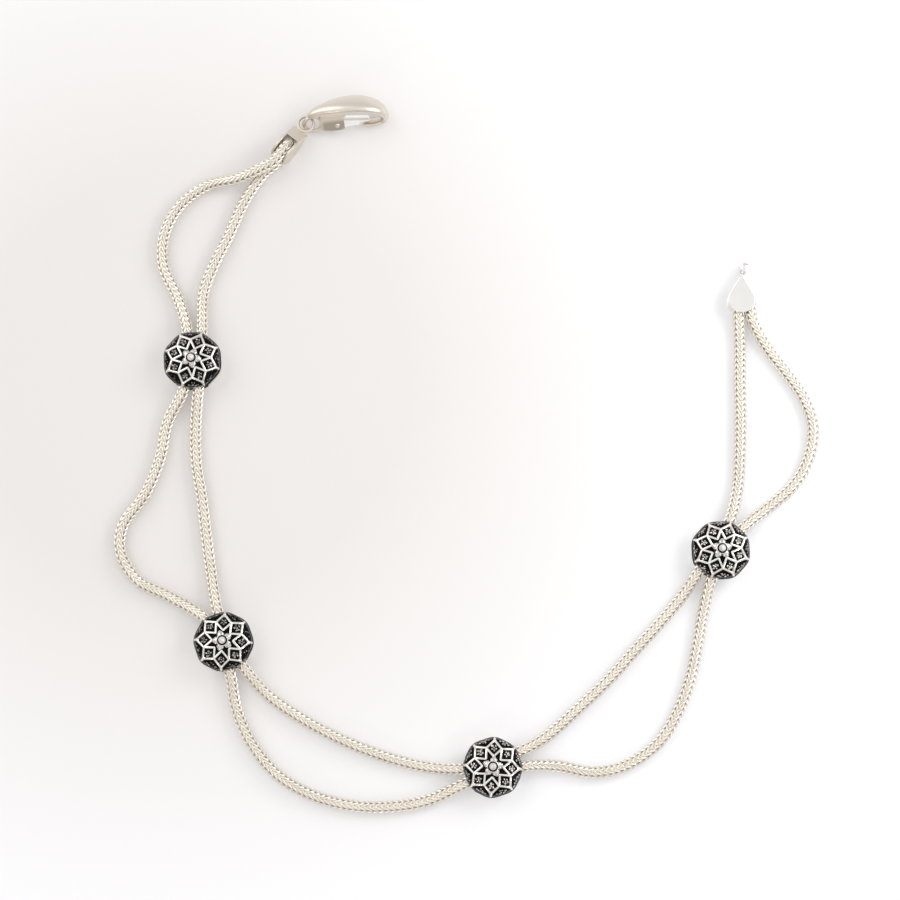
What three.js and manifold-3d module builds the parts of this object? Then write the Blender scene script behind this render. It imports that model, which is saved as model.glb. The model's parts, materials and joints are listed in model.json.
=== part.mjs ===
// A silver anklet lying open on a flat surface, in millimetres, +Z up.
// Two foxtail-chain strands run side by side through four domed slider beads. The inner
// strand is nearly straight between the beads and the outer one bows outward. Each end of
// the pair sits between the leaves of a teardrop cap with a loop, and one loop carries a
// lobster claw clasp with a sprung lever. The origin is under the middle of the layout.

import * as THREE from 'three';
import { mergeVertices } from 'three/addons/utils/BufferGeometryUtils.js';
import Module from 'manifold-3d';

const wasm = await Module();
wasm.setup();

// ---- Driving dimensions -------------------------------------------------------------

const DEG = Math.PI / 180;
const THROUGH = 40; // long enough to pass through any piece

const STRAND_R = 0.98; // outside radius of a chain strand
const STRAND_SIDES = 8;
const STRAND_STEPS = 80;
const STRAND_FLOOR_Z = 1.03; // strand centre where it lies on the surface
const PAIR_HALF_INSIDE = 1.2; // half the strand spacing in the middle of a bead
const PAIR_HALF_MOUTH = 1.2; // half the strand spacing where it leaves a bead
const PAIR_HALF_CAP = 1.07; // half the strand spacing in an end cap
const CAP_LEAD = 0.9; // how far before a cap the strands already run straight

const BEAD_R = 4.85;
const BEAD_SEGMENTS = 24;
const BACK_PLATE_H = 0.45;
const SLOT_W = 5.6; // the slot that both strands pass through
const SLOT_TOP_Z = 2.95;
const STRAND_BEAD_Z = 1.75; // strand centre inside a bead
const CELL_DEPTH = 0.32; // how far the dark cells lie below the lattice
const CELL_FOOT_Z = 2; // the cells are cut from above this height
const RIB_W = 0.34; // width of the lattice ribs
const KITE_INNER_R = 1.62;
const KITE_SIDE_R = 3.17;
const KITE_OUTER_R = 4.3;
const RIM_CELL_R = 4.6;
const RIM_CELL_INSET = 0.3; // share of a half point that a rim cell stops short of a strut
const POINTS = 8; // points of the star

const STONE_R = 0.62;
const STONE_Z = 5.3;
const STONE_GAP = 0.28;
const BEZEL_FOOT_Z = 4.2;
const BEZEL_TOP_Z = 5.25;

const CAP_R = 2.1; // round end of the teardrop leaves
const CAP_TIP = 4.1; // from the round end's centre to the tip
const LEAF_T = 0.3;
const LEAF_INSIDE = 1.16; // half the space between the leaves
const BLOCK_START = 0.9; // the solid tip begins here
const STRAND_END = 0.6; // the strands end here, short of the solid tip
const LOOP_CENTRE = 5.4;
const LOOP_BAND = 0.45; // how thick the loop's band is
const TIP_INSET = 0.05; // how far the solid tip stays inside the leaves' faces

const RING_R = 1.5; // clasp ring, to the middle of its wire
const RING_WIRE_R = 0.37;
const CLASP_HALF_T = 2.05;
const LEVER_T = 1.1;
const LEVER_SLOT_W = 1.6;
const PIN_R = 0.35;
const PIN_L = 2.2;
const EYE_R = 1.05; // the lever's eye
const PIN_HOLE_R = 0.6;
const PIN_U = 3.9;
const PIN_H = -0.1;

// ---- Places -------------------------------------------------------------------------

// Each bead: its middle, the way the chain runs through it from clasp to tag, and the
// direction of one outer point of its star.
const BEADS = [
  { id: 1, x: -44.7, y: 14.25, heading: -93, star: 26 },
  { id: 2, x: -39.0, y: -31.45, heading: -64.4, star: 42 },
  { id: 3, x: 3.85, y: -51.35, heading: 16.4, star: 41 },
  { id: 4, x: 40.5, y: -16.75, heading: 58.1, star: 25 },
];

// Each end cap: the middle of its round end, the way its tip points, the turn of its
// leaves about that line (0 lies flat), the turn of its loop, the loop's outside radius and
// width, and the strands' side step.
const CLASP_CAP = {
  x: -29.98, y: 49.83, z: 2.15, tip: 52, roll: 90, lean: 0, loopR: 1.5, loopW: 0.5, shift: 0,
};
const TAG_CAP = {
  x: 44.6, y: 24.35, z: 1.5, tip: 89, roll: 0, lean: 20, loopR: 1.4, loopW: 0.9, shift: 0.7,
};

// The clasp: the middle of its ring, the way it points and how far its spine leans back.
const CLASP = { x: -25.45, y: 54.2, z: 1.91, heading: 7.5, roll: 34 };

// The strands between the cap, the beads and the other cap, from clasp to tag: x, y and,
// where the strand is lifted off the surface, z.
const SECTIONS = [
  {
    inner: [[-34.1, 45.3], [-36.9, 40.8], [-39.2, 35.4], [-41.5, 30.6], [-43.2, 25.5]],
    outer: [
      [-33.4, 46.6, 3.15], [-37.9, 44.7, 2.3], [-43.0, 43.8], [-47.5, 40.2],
      [-49.8, 35.4], [-49.8, 30.2], [-47.4, 24.9],
    ],
  },
  {
    inner: [[-44.1, 3.6], [-43.9, -2.3], [-42.9, -8.2], [-42.1, -14.3], [-41.2, -20.4]],
    outer: [
      [-48.7, 4.2], [-49.8, -1.6], [-52.1, -7.5], [-55.5, -12.4],
      [-55.8, -17.0], [-53.0, -21.5], [-47.9, -24.1],
    ],
  },
  {
    inner: [[-31.9, -39.8], [-26.6, -43.5], [-20.6, -46.7], [-14.1, -49.3], [-7.4, -51.1]],
    outer: [
      [-36.9, -42.0], [-34.4, -47.5], [-30.3, -52.4], [-24.9, -55.6],
      [-18.7, -57.3], [-12.5, -57.5], [-6.4, -56.5],
    ],
  },
  {
    inner: [[12.5, -46.4], [17.4, -42.1], [22.2, -37.6], [26.6, -32.8], [30.8, -28.2], [34.2, -24.2]],
    outer: [
      [14.2, -51.1], [19.9, -52.1], [25.4, -50.8], [30.3, -47.3],
      [33.4, -42.4], [35.5, -36.9], [36.7, -31.5], [37.7, -26.4],
    ],
  },
  {
    inner: [[43.5, -6.6], [44.0, -0.7], [44.2, 5.2], [44.2, 11.1], [44.3, 16.8]],
    outer: [
      [48.4, -9.7], [52.6, -6.0], [55.1, -1.5], [55.9, 3.6],
      [54.4, 8.5], [51.6, 12.7], [48.6, 16.8],
    ],
  },
];

// ---- Finishes -----------------------------------------------------------------------

function metal(color, roughness) {
  return new THREE.MeshStandardMaterial({ color, roughness, metalness: 1 });
}

const CHAIN_SILVER = metal(0xe4dfd4, 0.3);
const POLISHED_SILVER = metal(0xe9e6e0, 0.15);
const OXIDISED_SILVER = metal(0x8c8a88, 0.35);
const STONE_FINISH = new THREE.MeshStandardMaterial({ color: 0xe8e4dc, roughness: 0.1, metalness: 0 });

// ---- Solids -------------------------------------------------------------------------

/** The solid of a closed geometry, with only its positions. */
function solidOf(geometry) {
  const bare = geometry.index ? geometry.toNonIndexed() : geometry.clone();
  bare.deleteAttribute('normal');
  bare.deleteAttribute('uv');
  const merged = mergeVertices(bare, 1e-4);
  const vertProperties = new Float32Array(merged.attributes.position.array);
  const triVerts = new Uint32Array(merged.index.array);
  return new wasm.Manifold(new wasm.Mesh({ numProp: 3, vertProperties, triVerts }));
}

/** A geometry of a solid's main body, without the slivers that cuts leave behind. */
function geometryOf(solid) {
  const bodies = solid.decompose().sort((a, b) => b.volume() - a.volume());
  const mesh = bodies[0].getMesh();
  const geometry = new THREE.BufferGeometry();
  geometry.setAttribute('position', new THREE.BufferAttribute(mesh.vertProperties, 3));
  geometry.setIndex(new THREE.BufferAttribute(mesh.triVerts, 1));
  geometry.computeVertexNormals();
  return geometry;
}

function part(name, geometry, material) {
  const mesh = new THREE.Mesh(geometry, material);
  mesh.name = name;
  return mesh;
}

/** A solid turned about the Z axis from a profile of [radius, z] pairs. */
function turned(profile, segments) {
  const points = profile.map(([r, z]) => new THREE.Vector2(r, z));
  return new THREE.LatheGeometry(points, segments).rotateX(Math.PI / 2);
}

/** A flat outline given a thickness, centred on its own plane. */
function slab(shape, thickness, curveSegments = 12) {
  const options = { depth: thickness, bevelEnabled: false, curveSegments };
  return new THREE.ExtrudeGeometry(shape, options).translate(0, 0, -thickness / 2);
}

function polygon(points) {
  return new THREE.Shape(points.map(([x, y]) => new THREE.Vector2(x, y)));
}

function onCircle(r, angle) {
  return [r * Math.cos(angle), r * Math.sin(angle)];
}

// ---- Strands ------------------------------------------------------------------------

/** A point beside a bead's middle: along its heading, to its right and at height z. */
function beadPoint(bead, along, right, z) {
  const c = Math.cos(bead.heading * DEG);
  const s = Math.sin(bead.heading * DEG);
  return new THREE.Vector3(bead.x + along * c + right * s, bead.y + along * s - right * c, z);
}

/** The matrix that carries a cap's own frame (tip along +X, leaves across +Z) to its place. */
function capMatrix(cap) {
  const turn = new THREE.Matrix4().makeRotationZ(cap.tip * DEG);
  const roll = new THREE.Matrix4().makeRotationX(cap.roll * DEG);
  return new THREE.Matrix4().makeTranslation(cap.x, cap.y, cap.z).multiply(turn).multiply(roll);
}

/** A strand's place in a cap's own frame, carried to its place in the layout. */
function capPoint(cap, along, across) {
  return new THREE.Vector3(along, across, 0).applyMatrix4(capMatrix(cap));
}

/** The route of one strand; side is +1 for the outer strand and -1 for the inner one. */
function strandRoute(side) {
  const mouth = -CAP_R - CAP_LEAD;
  const start = side * PAIR_HALF_CAP;
  const points = [capPoint(CLASP_CAP, STRAND_END, start), capPoint(CLASP_CAP, mouth, start)];
  SECTIONS.forEach((section, index) => {
    const places = side > 0 ? section.outer : section.inner;
    for (const [x, y, z = STRAND_FLOOR_Z] of places) {
      points.push(new THREE.Vector3(x, y, z));
    }
    if (index < BEADS.length) {
      const bead = BEADS[index];
      points.push(beadPoint(bead, -BEAD_R, side * PAIR_HALF_MOUTH, STRAND_BEAD_Z));
      points.push(beadPoint(bead, 0, side * PAIR_HALF_INSIDE, STRAND_BEAD_Z));
      points.push(beadPoint(bead, BEAD_R, side * PAIR_HALF_MOUTH, STRAND_BEAD_Z));
    }
  });
  const end = -side * PAIR_HALF_CAP - TAG_CAP.shift;
  points.push(capPoint(TAG_CAP, mouth, end));
  points.push(capPoint(TAG_CAP, STRAND_END, end));
  return new THREE.CatmullRomCurve3(points, false, 'catmullrom', 0.5);
}

function strand(side) {
  const corners = [];
  for (let i = 0; i < STRAND_SIDES; i += 1) {
    corners.push(onCircle(STRAND_R, ((i + 0.5) / STRAND_SIDES) * 2 * Math.PI));
  }
  const options = { steps: STRAND_STEPS, bevelEnabled: false, extrudePath: strandRoute(side) };
  return new THREE.ExtrudeGeometry(polygon(corners), options);
}

// ---- Slider beads -------------------------------------------------------------------

// The dome's profile as [radius, z] from the back plate to the top.
const DOME_PROFILE = [
  [0, 0], [4.45, 0], [4.72, 0.35], [BEAD_R, 1.2], [BEAD_R, 2.5], [4.78, 3.0],
  [4.5, 3.4], [3.75, 3.9], [2.6, 4.3], [1.3, 4.5], [0, 4.55],
];
const HOLLOW_PROFILE = [
  [0, BACK_PLATE_H], [3.9, BACK_PLATE_H], [3.9, 2.5], [3.35, 3.2], [1.5, 3.65], [0, 3.7],
];

/** The dome's profile pulled in by a depth, for the floors of the cells. */
function floorProfile(depth) {
  const kept = DOME_PROFILE.filter(([, z]) => z > 1);
  const inner = kept.map(([r, z]) => [Math.max(r - depth * 0.8, 0), z - depth * 0.7]);
  const [firstR, firstZ] = inner[0];
  inner[inner.length - 1][0] = 0;
  return [[0, firstZ], [firstR, firstZ], ...inner.slice(1)];
}

/** An outline moved inward by half a rib on every side; its corners run anticlockwise. */
function insetOutline(corners, distance) {
  const count = corners.length;
  const lines = corners.map(([x, y], i) => {
    const [nx, ny] = corners[(i + 1) % count];
    const length = Math.hypot(nx - x, ny - y);
    const dx = (nx - x) / length;
    const dy = (ny - y) / length;
    return { x: x - dy * distance, y: y + dx * distance, dx, dy };
  });
  return lines.map((line, i) => {
    const before = lines[(i + count - 1) % count];
    const cross = before.dx * line.dy - before.dy * line.dx;
    const t = ((line.x - before.x) * line.dy - (line.y - before.y) * line.dx) / cross;
    return [before.x + before.dx * t, before.y + before.dy * t];
  });
}

/** The outlines of the lattice's cells: eight kites and eight rim cells. */
function cellOutlines(star) {
  const cells = [];
  const half = Math.PI / POINTS;
  for (let k = 0; k < POINTS; k += 1) {
    const a = star + 2 * half * k;
    const kite = [
      onCircle(KITE_INNER_R, a), onCircle(KITE_SIDE_R, a - half),
      onCircle(KITE_OUTER_R, a), onCircle(KITE_SIDE_R, a + half),
    ];
    const rim = [
      onCircle(KITE_SIDE_R, a + half), onCircle(KITE_OUTER_R, a),
      onCircle(RIM_CELL_R, a + half * RIM_CELL_INSET),
      onCircle(RIM_CELL_R, a + half * (2 - RIM_CELL_INSET)),
      onCircle(KITE_OUTER_R, a + 2 * half),
    ];
    cells.push(insetOutline(kite, RIB_W / 2), insetOutline(rim, RIB_W / 2));
  }
  return cells;
}

/** A hollow domed bead with its slot along +X and one star point at the angle star. */
function rosette(star) {
  const floor = solidOf(turned(floorProfile(CELL_DEPTH), BEAD_SEGMENTS));
  let body = solidOf(turned(DOME_PROFILE, BEAD_SEGMENTS));
  for (const outline of cellOutlines(star)) {
    const prism = slab(polygon(outline), THROUGH).translate(0, 0, CELL_FOOT_Z + THROUGH / 2);
    body = body.subtract(solidOf(prism).subtract(floor));
  }
  const hollow = solidOf(turned(HOLLOW_PROFILE, BEAD_SEGMENTS / 2));
  const slotH = SLOT_TOP_Z - BACK_PLATE_H;
  const slot = new THREE.BoxGeometry(3 * BEAD_R, SLOT_W, slotH);
  slot.translate(0, 0, BACK_PLATE_H + slotH / 2);
  const seatR = STONE_R + STONE_GAP;
  const bezelProfile = [
    [0, BEZEL_FOOT_Z], [seatR + 0.25, BEZEL_FOOT_Z], [seatR + 0.2, BEZEL_TOP_Z], [0, BEZEL_TOP_Z],
  ];
  const bezel = turned(bezelProfile, 16);
  const seat = new THREE.SphereGeometry(seatR, 12, 8).translate(0, 0, STONE_Z);
  return geometryOf(
    body.subtract(hollow).subtract(solidOf(slot)).add(solidOf(bezel)).subtract(solidOf(seat)),
  );
}

function bead({ id, x, y, heading, star }) {
  const shell = part(`rosette_${id}`, rosette((star - heading) * DEG), OXIDISED_SILVER);
  const ball = new THREE.SphereGeometry(STONE_R, 10, 6);
  const stone = part(`stone_${id}`, ball.translate(0, 0, STONE_Z), STONE_FINISH);
  const group = new THREE.Group();
  group.position.set(x, y, 0);
  group.rotation.z = heading * DEG;
  group.add(shell, stone);
  return group;
}

// ---- End caps -----------------------------------------------------------------------

/** The teardrop outline: a round end about the origin, straight sides to a tip on +X. */
function teardrop(r, tip) {
  const touch = Math.acos(r / tip);
  const shape = new THREE.Shape();
  shape.moveTo(tip, 0);
  shape.lineTo(...onCircle(r, touch));
  shape.absarc(0, 0, r, touch, 2 * Math.PI - touch, false);
  shape.lineTo(tip, 0);
  return shape;
}

/** The two leaves, the solid tip between them and the loop, as one soldered solid. */
function endCap(cap) {
  const outline = teardrop(CAP_R, CAP_TIP);
  const leafZ = LEAF_INSIDE + LEAF_T / 2;
  const upper = solidOf(slab(outline, LEAF_T).translate(0, 0, leafZ));
  const lower = solidOf(slab(outline, LEAF_T).translate(0, 0, -leafZ));
  const wholeT = 2 * (LEAF_INSIDE + LEAF_T);
  const tipBox = new THREE.BoxGeometry(CAP_TIP, 2 * CAP_R, wholeT);
  tipBox.translate(BLOCK_START + CAP_TIP / 2, 0, 0);
  const tip = solidOf(slab(outline, wholeT - 2 * TIP_INSET)).intersect(solidOf(tipBox));
  const ring = new THREE.Shape().absarc(0, 0, cap.loopR, 0, 2 * Math.PI, false);
  const hole = new THREE.Path().absarc(0, 0, cap.loopR - LOOP_BAND, 0, 2 * Math.PI, true);
  ring.holes.push(hole);
  const loop = slab(ring, cap.loopW, 20).rotateX(Math.PI / 2);
  loop.translate(LOOP_CENTRE - CAP_TIP, 0, 0).rotateZ(-cap.lean * DEG).translate(CAP_TIP, 0, 0);
  return geometryOf(upper.add(lower).add(tip).add(solidOf(loop)));
}

function placedCap(name, cap) {
  const mesh = part(name, endCap(cap), POLISHED_SILVER);
  mesh.applyMatrix4(capMatrix(cap));
  return mesh;
}

// ---- Lobster clasp ------------------------------------------------------------------

// In the clasp's own frame X runs from the ring to the nose, Y up to the spine and Z
// across its thickness, with the middle of the ring at the origin.

/** The clasp's side: a rounded spine from the ring to the nose, open under the arch. */
function claspSide() {
  const shape = new THREE.Shape();
  shape.moveTo(1.0, 0.9);
  shape.bezierCurveTo(0.6, 1.35, 0.1, 1.45, -0.4, 1.45);
  shape.bezierCurveTo(-0.95, 1.5, -0.95, 2.1, -0.4, 2.4);
  shape.bezierCurveTo(0.9, 3.3, 2.6, 4.0, 5.0, 4.05);
  shape.bezierCurveTo(8.2, 4.1, 10.8, 3.1, 12.2, 1.2);
  shape.bezierCurveTo(13.3, -0.4, 12.6, -1.55, 11.2, -1.55);
  shape.bezierCurveTo(9.2, -1.6, 7.95, -1.75, 7.95, -1.25);
  shape.bezierCurveTo(7.95, -0.95, 8.6, -0.9, 9.5, -0.85);
  shape.bezierCurveTo(10.5, -0.75, 11.1, -0.3, 10.9, 0.4);
  shape.bezierCurveTo(10.5, 1.6, 9.2, 2.15, 7.2, 2.15);
  shape.bezierCurveTo(6.0, 2.15, 5.2, 1.7, 5.1, 0.8);
  shape.lineTo(5.1, -0.8);
  shape.bezierCurveTo(5.0, -1.2, 4.3, -1.25, 3.6, -1.2);
  shape.bezierCurveTo(2.6, -1.15, 1.9, -0.95, 1.0, -0.9);
  shape.lineTo(1.0, 0.9);
  return shape;
}

/** The clasp seen from above its spine: a leaf, narrow at the ring and the nose. */
function claspLeaf() {
  const shape = new THREE.Shape();
  shape.moveTo(-1.3, -0.55);
  shape.bezierCurveTo(0.8, -0.9, 3.2, -CLASP_HALF_T, 7.0, -CLASP_HALF_T);
  shape.bezierCurveTo(10.4, -CLASP_HALF_T, 13.1, -1.5, 13.1, 0);
  shape.bezierCurveTo(13.1, 1.5, 10.4, CLASP_HALF_T, 7.0, CLASP_HALF_T);
  shape.bezierCurveTo(3.2, CLASP_HALF_T, 0.8, 0.9, -1.3, 0.55);
  shape.lineTo(-1.3, -0.55);
  return shape;
}

/** The clasp seen from its nose: a domed spine narrowing down to the hook. */
function claspSection() {
  const shape = new THREE.Shape();
  shape.moveTo(-0.85, -2.4);
  shape.lineTo(0.85, -2.4);
  shape.bezierCurveTo(0.95, -0.6, 2.0, 0.7, CLASP_HALF_T, 1.9);
  shape.bezierCurveTo(CLASP_HALF_T, 3.0, 1.3, 4.1, 0, 4.1);
  shape.bezierCurveTo(-1.3, 4.1, -CLASP_HALF_T, 3.0, -CLASP_HALF_T, 1.9);
  shape.bezierCurveTo(-2.0, 0.7, -0.95, -0.6, -0.85, -2.4);
  return shape;
}

function claspBody() {
  const side = solidOf(slab(claspSide(), THROUGH, 6));
  const leaf = solidOf(slab(claspLeaf(), THROUGH, 6).rotateX(Math.PI / 2));
  const section = solidOf(slab(claspSection(), THROUGH, 5).rotateY(Math.PI / 2));
  const slotOutline = polygon([
    [2.45, -3], [5.9, -3], [5.9, 1.55], [4.7, 1.55], [3.0, 1.2], [2.45, 0.5],
  ]);
  const slot = solidOf(slab(slotOutline, LEVER_SLOT_W));
  const ring = solidOf(new THREE.TorusGeometry(RING_R, RING_WIRE_R, 8, 24));
  const pinShape = new THREE.CylinderGeometry(PIN_R, PIN_R, PIN_L, 12).rotateX(Math.PI / 2);
  const pin = solidOf(pinShape.translate(PIN_U, PIN_H, 0));
  const hook = side.intersect(leaf).intersect(section).subtract(slot);
  return geometryOf(hook.add(ring).add(pin));
}

/** The lever: an eye on the pin, a bar up to the nose and a tab for the thumb. */
function claspLever() {
  const shape = new THREE.Shape();
  shape.moveTo(PIN_U - 0.2, PIN_H + EYE_R);
  shape.absarc(PIN_U, PIN_H, EYE_R, 100 * DEG, 225 * DEG, false);
  shape.lineTo(3.4, -1.4);
  shape.bezierCurveTo(3.7, -1.65, 4.5, -1.6, 4.8, -1.35);
  shape.bezierCurveTo(5.0, -1.2, 5.2, -1.15, 5.6, -1.15);
  shape.lineTo(7.3, -1.1);
  shape.bezierCurveTo(7.6, -1.08, 7.65, -0.62, 7.95, -0.6);
  shape.lineTo(9.0, -0.55);
  shape.bezierCurveTo(9.45, -0.5, 9.45, -0.05, 9.0, 0);
  shape.lineTo(5.0, 0.55);
  shape.lineTo(PIN_U - 0.2, PIN_H + EYE_R);
  shape.holes.push(new THREE.Path().absarc(PIN_U, PIN_H, PIN_HOLE_R, 0, 2 * Math.PI, true));
  return slab(shape, LEVER_T, 6);
}

/** Sets a mesh made in the clasp's own frame into its place in the layout. */
function placeOnClasp(mesh) {
  const turn = new THREE.Matrix4().makeRotationZ(CLASP.heading * DEG);
  const lean = new THREE.Matrix4().makeRotationX((90 - CLASP.roll) * DEG);
  const place = new THREE.Matrix4().makeTranslation(CLASP.x, CLASP.y, CLASP.z);
  mesh.applyMatrix4(place.multiply(turn).multiply(lean));
  return mesh;
}

// ---- The anklet ---------------------------------------------------------------------

const anklet = new THREE.Group();
anklet.add(
  part('strand_inner', strand(-1), CHAIN_SILVER),
  part('strand_outer', strand(1), CHAIN_SILVER),
  ...BEADS.map(bead),
  placedCap('end_cap_clasp', CLASP_CAP),
  placedCap('end_cap_tag', TAG_CAP),
  placeOnClasp(part('clasp_body', claspBody(), POLISHED_SILVER)),
  placeOnClasp(part('clasp_lever', claspLever(), POLISHED_SILVER)),
);

export default anklet;
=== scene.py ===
"""A silver anklet laid open on a pale surface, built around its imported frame.

Two foxtail chain strands run through four domed slider beads, between two teardrop end
caps, one of which carries a lobster claw clasp. Sizes are in millimetres until a mesh is
made, and then in metres.
"""

import json
import logging
import math
from dataclasses import dataclass
from enum import Enum
from functools import cache

import bpy
import numpy as np
from mathutils import Matrix, Vector

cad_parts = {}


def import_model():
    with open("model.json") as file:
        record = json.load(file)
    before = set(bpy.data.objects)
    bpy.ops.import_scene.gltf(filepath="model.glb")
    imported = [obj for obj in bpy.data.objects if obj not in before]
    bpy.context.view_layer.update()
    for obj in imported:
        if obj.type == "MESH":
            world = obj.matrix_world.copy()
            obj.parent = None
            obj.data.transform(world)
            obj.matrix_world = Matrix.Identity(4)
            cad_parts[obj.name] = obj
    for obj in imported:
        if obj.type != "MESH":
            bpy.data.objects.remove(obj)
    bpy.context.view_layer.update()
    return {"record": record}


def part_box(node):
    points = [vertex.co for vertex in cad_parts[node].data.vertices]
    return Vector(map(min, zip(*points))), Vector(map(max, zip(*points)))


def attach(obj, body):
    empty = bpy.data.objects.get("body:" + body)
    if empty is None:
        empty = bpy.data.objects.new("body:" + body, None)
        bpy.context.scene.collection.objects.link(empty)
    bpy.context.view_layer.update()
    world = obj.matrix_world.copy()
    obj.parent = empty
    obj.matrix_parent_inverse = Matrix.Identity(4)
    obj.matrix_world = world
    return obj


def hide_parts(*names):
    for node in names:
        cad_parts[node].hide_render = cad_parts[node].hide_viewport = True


Colour = Point = tuple[float, float, float]
Socket = bpy.types.NodeSocket

LOG = logging.getLogger("anklet")
MM = 0.001
UP = np.array([0.0, 0.0, 1.0])
EAST = np.array([1.0, 0.0, 0.0])
QUARTER = math.pi / 2
BODY = "anklet"
LEVER_BODY = "lever"


class Slot(Enum):
    """The record's material slots."""

    CHAIN = "chain_silver"
    POLISHED = "polished_silver"
    OXIDISED = "oxidised_silver"
    STONE = "stone"


class Strand(Enum):
    """Which strand of the pair, as the side of the heading that it keeps to."""

    INNER = -1
    OUTER = 1


# ---- Surfaces -------------------------------------------------------------------------


@dataclass
class Shape:
    """A surface in millimetres.

    Args:
        points: the points, one row each.
        faces: arrays of faces, each array with one number of corners.
        depth: 0 where it is bright and 1 where it is darkest, for each point or all: oxide
            deep in
        the beads' recesses, painted shade in the chain and the caps' loops, and a painted dark
        reflection on the clasp's cheek.
    """

    points: np.ndarray
    faces: list[np.ndarray]
    depth: np.ndarray | float = 0.0

    def __post_init__(self) -> None:
        """Gives each point its depth."""
        self.depth = np.broadcast_to(self.depth, len(self.points)).astype(float)

    def placed(self, place: np.ndarray) -> "Shape":
        """The surface carried by a rigid 4 by 4 matrix."""
        return Shape(self.points @ place[:3, :3].T + place[:3, 3], self.faces, self.depth)


def joined(shapes: list[Shape]) -> Shape:
    """Gathers several surfaces into one.

    Args:
        shapes: the surfaces.

    Returns:
        One surface that holds them all.
    """
    starts = np.cumsum([0, *(len(shape.points) for shape in shapes)])
    faces = [block + start for shape, start in zip(shapes, starts) for block in shape.faces]
    points, depths = zip(*((shape.points, shape.depth) for shape in shapes))
    return Shape(np.concatenate(points), faces, np.concatenate(depths))


def copies(points: np.ndarray, faces: list[np.ndarray], depth: np.ndarray | float) -> Shape:
    """Many surfaces that share one pattern of faces.

    Args:
        points: their points, shaped (surfaces, points of each, 3).
        faces: the faces of one of them.
        depth: how deep the points lie.

    Returns:
        All of them as one shape.
    """
    starts = (np.arange(points.shape[0]) * points.shape[1])[:, None, None]
    blocks = [(block + starts).reshape(-1, block.shape[1]) for block in faces]
    return Shape(points.reshape(-1, 3), blocks, depth)


def unit(vectors: np.ndarray) -> np.ndarray:
    """Vectors scaled to length one, with x, y, z last."""
    return vectors / np.linalg.norm(vectors, axis=-1, keepdims=True)


def circle(count: int) -> np.ndarray:
    """Evenly spaced angles all the way round."""
    return np.arange(count) / count * math.tau


def polar(radius: np.ndarray | float, angle: np.ndarray | float) -> np.ndarray:
    """Flat points at some radii and angles, with x, y last."""
    return np.stack([radius * np.cos(angle), radius * np.sin(angle)], axis=-1)


def raised(flat: np.ndarray, z: np.ndarray | float) -> np.ndarray:
    """Flat points at some heights, with x, y, z last."""
    return np.concatenate([flat, np.broadcast_to(z, flat.shape[:-1])[..., None]], axis=-1)


def bulged(values: np.ndarray, power: float) -> np.ndarray:
    """A circle's sines or cosines raised to a power, which makes it squarer."""
    return np.sign(values) * np.abs(values) ** power


def mirrored(right: np.ndarray) -> np.ndarray:
    """The right half of an outline, from its bottom up, with its left half added."""
    return np.concatenate([right, right[::-1] * (-1, 1)])


def grid_quads(
    rows: int, columns: int, round_rows: bool = False, round_columns: bool = True
) -> np.ndarray:
    """The four-cornered faces of a grid of points.

    Args:
        rows: how many rows of points it has.
        columns: how many points each row has.
        round_rows: whether the last row joins the first.
        round_columns: whether each row joins its own start.

    Returns:
        The faces, one row each.
    """
    here = np.arange(rows if round_rows else rows - 1)[:, None]
    ahead = (here + 1) % rows * columns
    here = here * columns
    j = np.arange(columns if round_columns else columns - 1)
    side = (j + 1) % columns
    return np.stack([here + j, here + side, ahead + side, ahead + j], axis=-1).reshape(-1, 4)


def bar_faces(rings: int, corners: int) -> list[np.ndarray]:
    """The faces of a bar of some rings of points: its sides, its start and its end."""
    ring = np.arange(corners)[None]
    return [grid_quads(rings, corners), ring[:, ::-1], ring + (rings - 1) * corners]


def sweep(
    centres: np.ndarray,
    ups: np.ndarray,
    section: np.ndarray,
    scale: np.ndarray | float = 1.0,
    depth: np.ndarray | float = 0.0,
    closed: bool = False,
) -> Shape:
    """Draws one section along many paths at once.

    Args:
        centres: the paths, shaped (paths, stations, 3).
        ups: the way that is up at each station, shaped like centres.
        section: the section's corners, anticlockwise, as (sideways, up) pairs.
        scale: the section's scale at each station, shaped (paths, stations).
        depth: the recess depth at each station, shaped (paths, stations).
        closed: whether each path joins its own start.

    Returns:
        The swept bars, closed at their ends.
    """
    paths, stations = centres.shape[:2]
    corners = len(section)
    if closed:
        tangents = unit(np.roll(centres, -1, axis=1) - np.roll(centres, 1, axis=1))
        faces = [grid_quads(stations, corners, round_rows=True)]
    else:
        tangents = unit(np.gradient(centres, axis=1))
        faces = bar_faces(stations, corners)
    upward = unit(ups - np.sum(ups * tangents, axis=-1, keepdims=True) * tangents)
    sideways = np.cross(upward, tangents)
    size = np.broadcast_to(scale, (paths, stations))[..., None, None]
    across = section[:, :1] * sideways[:, :, None]
    above = section[:, 1:] * upward[:, :, None]
    points = centres[:, :, None] + size * (across + above)
    depths = np.repeat(np.broadcast_to(depth, (paths, stations)), corners)
    return copies(points.reshape(paths, -1, 3), faces, depths)


def round_section(radius: float, sides: int) -> np.ndarray:
    """The corners of a round section, as (sideways, up) pairs."""
    return polar(radius, circle(sides))


def hoop(line: np.ndarray, ways: np.ndarray, section: np.ndarray, depth: float = 0.0) -> Shape:
    """One bar that joins its own start; ways is up at each point, or at all of them."""
    ups = np.broadcast_to(ways, line.shape)
    return sweep(line[None], ups[None], section, depth=depth, closed=True)


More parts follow.
